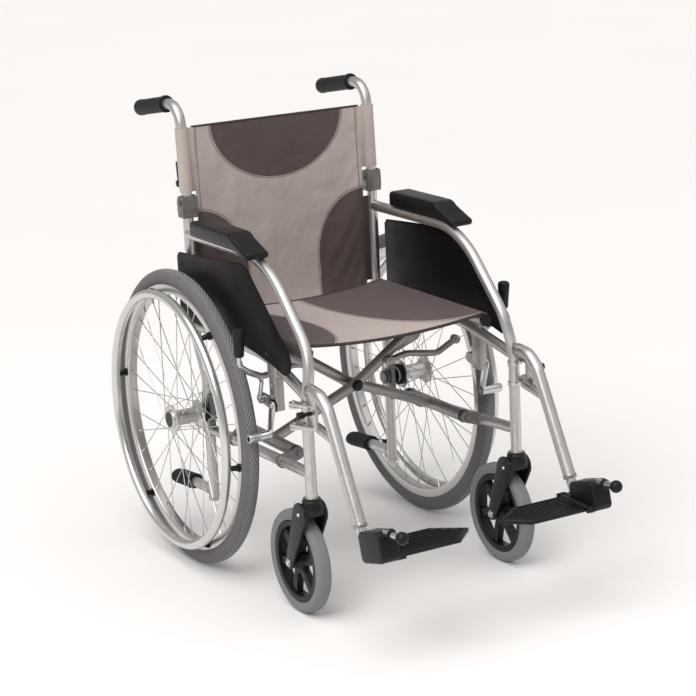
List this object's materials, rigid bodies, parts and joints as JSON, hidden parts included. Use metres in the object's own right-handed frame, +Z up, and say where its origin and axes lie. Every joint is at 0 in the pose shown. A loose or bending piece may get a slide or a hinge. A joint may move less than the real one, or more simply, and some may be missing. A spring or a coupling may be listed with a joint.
{
  "type": "manual folding wheelchair",
  "caption": "Manual folding wheelchair with push rings, padded arms, side panels, sling seat and back, casters and swing-away footrests.",
  "frame": {"origin": "bottom centre of the bounding box, on the floor, in the middle plane of the chair", "axes": "+Z up, the chair faces -Y, its right-hand side is -X; +Y runs from the toes to the push handles"},
  "size_m": [0.6384, 1.097, 0.9451],
  "materials": {
    "frame_silver": "satin silver, slightly brushed",
    "brace_silver": "satin dark silver",
    "cast_grey": "dark cast, satin",
    "wheel_silver": "smooth satin",
    "hub_steel": "bright, polished spokes",
    "handrim_silver": "smooth, nearly polished",
    "rear_tyre_grey": "matt grey rubber with small tread blocks",
    "caster_tyre_grey": "matt lighter grey solid rubber",
    "caster_black": "moulded black",
    "fork_black": "semi-matt black",
    "pad_black": "soft black skin, fine grain",
    "guard_panel": "dark panel, fine grain",
    "plate_black": "ribbed black",
    "grip_black": "matt black, ribbed",
    "lever_black": "gloss black",
    "seat_fabric": "light taupe woven with dark brown-grey sides",
    "back_fabric": "light taupe woven with dark brown-grey panels"
  },
  "bodies": {
    "right_frame": {"right_front_post_arm_tube": "frame_silver", "right_rear_post": "frame_silver", "right_seat_side_tube": "frame_silver", "right_lower_rail": "frame_silver", "right_skirt_guard": "guard_panel", "right_arm_pad": "pad_black", "right_tip_lever": "frame_silver", "right_brake_mount": "cast_grey", "right_back_hinge_bracket": "cast_grey", "back_sling_lower": "back_fabric"},
    "left_frame": {"left_front_post_arm_tube": "frame_silver", "left_rear_post": "frame_silver", "left_seat_side_tube": "frame_silver", "left_lower_rail": "frame_silver", "left_skirt_guard": "guard_panel", "left_arm_pad": "pad_black", "left_tip_lever": "frame_silver", "left_brake_mount": "cast_grey", "left_back_hinge_bracket": "cast_grey"},
    "brace_a": {"brace_a": "brace_silver", "centre_bolt": "hub_steel", "seat_sling": "seat_fabric"},
    "brace_b": {"brace_b": "brace_silver"},
    "right_fold_link": {"right_fold_link": "cast_grey"},
    "right_rear_wheel": {"right_rear_tyre": "rear_tyre_grey", "right_rear_rim": "wheel_silver", "right_rear_hub": "hub_steel", "right_handrim": "handrim_silver"},
    "right_caster_fork": {"right_caster_fork": "fork_black"},
    "right_caster_wheel": {"right_caster_wheel": "caster_black", "right_caster_tyre": "caster_tyre_grey"},
    "right_brake_lever": {"right_brake_lever": "hub_steel", "right_brake_grip": "grip_black"},
    "right_brake_shoe": {"right_brake_shoe": "hub_steel"},
    "right_upper_back": {"right_push_handle": "frame_silver", "right_push_grip": "grip_black", "back_sling_upper": "back_fabric"},
    "right_back_latch": {"right_back_latch": "lever_black"},
    "right_hanger": {"right_hanger": "frame_silver"},
    "right_hanger_latch": {"right_hanger_latch": "hub_steel"},
    "right_foot_extension": {"right_foot_extension": "fork_black"},
    "right_footplate": {"right_footplate": "plate_black"},
    "left_fold_link": {"left_fold_link": "cast_grey"},
    "left_rear_wheel": {"left_rear_tyre": "rear_tyre_grey", "left_rear_rim": "wheel_silver", "left_rear_hub": "hub_steel", "left_handrim": "handrim_silver"},
    "left_caster_fork": {"left_caster_fork": "fork_black"},
    "left_caster_wheel": {"left_caster_wheel": "caster_black", "left_caster_tyre": "caster_tyre_grey"},
    "left_brake_lever": {"left_brake_lever": "hub_steel", "left_brake_grip": "grip_black"},
    "left_brake_shoe": {"left_brake_shoe": "hub_steel"},
    "left_upper_back": {"left_push_handle": "frame_silver", "left_push_grip": "grip_black"},
    "left_back_latch": {"left_back_latch": "lever_black"},
    "left_hanger": {"left_hanger": "frame_silver"},
    "left_hanger_latch": {"left_hanger_latch": "hub_steel"},
    "left_foot_extension": {"left_foot_extension": "fork_black"},
    "left_footplate": {"left_footplate": "plate_black"}
  },
  "joints": [
    {"name": "fold", "type": "hinge", "parent": "right_frame", "child": "brace_a", "pos_m": [-0.193, 0.0185, 0.295], "axis": [0, -1, 0], "range_deg": [0, 50], "deforming": ["seat_sling", "back_sling_lower", "back_sling_upper"]},
    {"name": "brace_scissor", "type": "hinge", "parent": "brace_a", "child": "brace_b", "pos_m": [0, 0.0305, 0.3742], "axis": [0, -1, 0], "range_deg": [-100, 0]},
    {"name": "left_foot_pivot", "type": "hinge", "parent": "brace_b", "child": "left_frame", "pos_m": [0.193, 0.0185, 0.295], "axis": [0, -1, 0], "range_deg": [0, 50]},
    {"name": "right_link_pivot", "type": "hinge", "parent": "right_frame", "child": "right_fold_link", "pos_m": [-0.228, 0.0035, 0.434], "axis": [0, 1, 0], "range_deg": [-65, 0]},
    {"name": "right_wheel_spin", "type": "hinge", "parent": "right_frame", "child": "right_rear_wheel", "pos_m": [-0.273, 0.2435, 0.305], "axis": [1, 0, 0], "continuous": true},
    {"name": "right_caster_swivel", "type": "hinge", "parent": "right_frame", "child": "right_caster_fork", "pos_m": [-0.232, -0.2095, 0.25], "axis": [0, 0, 1], "continuous": true},
    {"name": "right_caster_spin", "type": "hinge", "parent": "right_caster_fork", "child": "right_caster_wheel", "pos_m": [-0.232, -0.1505, 0.1017], "axis": [1, 0, 0], "continuous": true},
    {"name": "right_brake_pivot", "type": "hinge", "parent": "right_frame", "child": "right_brake_lever", "pos_m": [-0.2435, -0.0415, 0.402], "axis": [1, 0, 0], "range_deg": [0, 45]},
    {"name": "right_shoe_pivot", "type": "hinge", "parent": "right_frame", "child": "right_brake_shoe", "pos_m": [-0.2435, -0.0915, 0.398], "axis": [1, 0, 0], "range_deg": [0, 3.1]},
    {"name": "right_back_fold", "type": "hinge", "parent": "right_frame", "child": "right_upper_back", "pos_m": [-0.216, 0.2885, 0.736], "axis": [-1, 0, 0], "range_deg": [0, 95], "deforming": ["back_sling_upper"]},
    {"name": "right_back_latch_pivot", "type": "hinge", "parent": "right_upper_back", "child": "right_back_latch", "pos_m": [-0.216, 0.31, 0.772], "axis": [-1, 0, 0], "range_deg": [0, 20], "stiffness_Nm_per_rad": 0.2, "springref_deg": -11.46},
    {"name": "right_hanger_swing", "type": "hinge", "parent": "right_frame", "child": "right_hanger", "pos_m": [-0.258, -0.2065, 0.41], "axis": [0, 0, -1], "range_deg": [0, 90]},
    {"name": "right_hanger_latch_slide", "type": "slide", "parent": "right_hanger", "child": "right_hanger_latch", "axis": [-1, 0, 0], "range_m": [0, 0.006], "stiffness_N_per_m": 300, "springref_m": -0.003},
    {"name": "right_footrest_height", "type": "slide", "parent": "right_hanger", "child": "right_foot_extension", "axis": [0, -0.4633, -0.8862], "range_m": [0, 0.08]},
    {"name": "right_footplate_flip", "type": "hinge", "parent": "right_foot_extension", "child": "right_footplate", "pos_m": [-0.2045, -0.4425, 0.2053], "axis": [0, -1, 0], "range_deg": [0, 90]},
    {"name": "left_link_pivot", "type": "hinge", "parent": "left_frame", "child": "left_fold_link", "pos_m": [0.228, 0.0035, 0.434], "axis": [0, -1, 0], "range_deg": [-65, 0]},
    {"name": "left_wheel_spin", "type": "hinge", "parent": "left_frame", "child": "left_rear_wheel", "pos_m": [0.273, 0.2435, 0.305], "axis": [1, 0, 0], "continuous": true},
    {"name": "left_caster_swivel", "type": "hinge", "parent": "left_frame", "child": "left_caster_fork", "pos_m": [0.232, -0.2095, 0.25], "axis": [0, 0, 1], "continuous": true},
    {"name": "left_caster_spin", "type": "hinge", "parent": "left_caster_fork", "child": "left_caster_wheel", "pos_m": [0.232, -0.1505, 0.1017], "axis": [1, 0, 0], "continuous": true},
    {"name": "left_brake_pivot", "type": "hinge", "parent": "left_frame", "child": "left_brake_lever", "pos_m": [0.2435, -0.0415, 0.402], "axis": [1, 0, 0], "range_deg": [0, 45]},
    {"name": "left_shoe_pivot", "type": "hinge", "parent": "left_frame", "child": "left_brake_shoe", "pos_m": [0.2435, -0.0915, 0.398], "axis": [1, 0, 0], "range_deg": [0, 3.1]},
    {"name": "left_back_fold", "type": "hinge", "parent": "left_frame", "child": "left_upper_back", "pos_m": [0.216, 0.2885, 0.736], "axis": [-1, 0, 0], "range_deg": [0, 95]},
    {"name": "left_back_latch_pivot", "type": "hinge", "parent": "left_upper_back", "child": "left_back_latch", "pos_m": [0.216, 0.31, 0.772], "axis": [-1, 0, 0], "range_deg": [0, 20], "stiffness_Nm_per_rad": 0.2, "springref_deg": -11.46},
    {"name": "left_hanger_swing", "type": "hinge", "parent": "left_frame", "child": "left_hanger", "pos_m": [0.258, -0.2065, 0.41], "axis": [0, 0, 1], "range_deg": [0, 90]},
    {"name": "left_hanger_latch_slide", "type": "slide", "parent": "left_hanger", "child": "left_hanger_latch", "axis": [1, 0, 0], "range_m": [0, 0.006], "stiffness_N_per_m": 300, "springref_m": -0.003},
    {"name": "left_footrest_height", "type": "slide", "parent": "left_hanger", "child": "left_foot_extension", "axis": [0, -0.4633, -0.8862], "range_m": [0, 0.08]},
    {"name": "left_footplate_flip", "type": "hinge", "parent": "left_foot_extension", "child": "left_footplate", "pos_m": [0.2045, -0.4425, 0.2053], "axis": [0, 1, 0], "range_deg": [0, 90]}
  ],
  "couplings": [
    {"joint": "brace_scissor", "follows": "fold", "ratio": -2},
    {"joint": "left_foot_pivot", "follows": "fold", "ratio": 1},
    {"joint": "right_link_pivot", "follows": "fold", "ratio": -1.3},
    {"joint": "right_shoe_pivot", "follows": "right_brake_pivot", "ratio": 0.067},
    {"joint": "right_footplate_flip", "follows": "fold", "ratio": 1.8},
    {"joint": "left_link_pivot", "follows": "fold", "ratio": -1.3},
    {"joint": "left_shoe_pivot", "follows": "left_brake_pivot", "ratio": 0.067},
    {"joint": "left_footplate_flip", "follows": "fold", "ratio": 1.8},
    {"joint": "left_back_fold", "follows": "right_back_fold", "ratio": 1}
  ]
}
